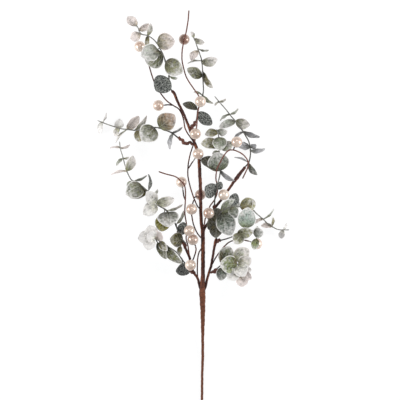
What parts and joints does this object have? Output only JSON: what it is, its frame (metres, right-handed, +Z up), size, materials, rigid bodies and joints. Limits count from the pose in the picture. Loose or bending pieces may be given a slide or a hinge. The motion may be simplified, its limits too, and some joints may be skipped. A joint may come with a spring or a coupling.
{
  "type": "faux eucalyptus spray with pearl beads",
  "caption": "Artificial frosted eucalyptus spray lying down: paper-wrapped wire stem with branches, leafy sprigs, bare curling tendrils and pearl beads on wires.",
  "frame": {"origin": "centre of the footprint's bounding box, on the surface that the spray lies on", "axes": "+Y from the handle's end towards the leafy end, +Z up, away from the surface"},
  "size_m": [0.2916, 0.5882, 0.0773],
  "materials": {
    "paper_tape": "brown paper floral tape wound round wire, matt",
    "frosted_leaf": "grey-green moulded leaf with whitish frosting, matt",
    "pearl_coat": "champagne pearl lacquer, glossy"
  },
  "bodies": {
    "root": {"wrapped_stem": "paper_tape", "sprig_top_left": "frosted_leaf", "sprig_top": "frosted_leaf", "sprig_upper_left": "frosted_leaf", "sprig_left": "frosted_leaf", "sprig_upper_right": "frosted_leaf", "sprig_middle": "frosted_leaf", "sprig_right": "frosted_leaf", "sprig_right_small": "frosted_leaf", "sprig_low_right": "frosted_leaf", "sprig_low_left": "frosted_leaf", "sprig_low_small": "frosted_leaf", "pearl_01": "pearl_coat", "pearl_02": "pearl_coat", "pearl_03": "pearl_coat", "pearl_04": "pearl_coat", "pearl_05": "pearl_coat", "pearl_06": "pearl_coat", "pearl_07": "pearl_coat", "pearl_08": "pearl_coat", "pearl_09": "pearl_coat", "pearl_10": "pearl_coat", "pearl_11": "pearl_coat", "pearl_12": "pearl_coat", "pearl_13": "pearl_coat", "pearl_14": "pearl_coat", "pearl_15": "pearl_coat", "pearl_16": "pearl_coat"}
  },
  "joints": []
}
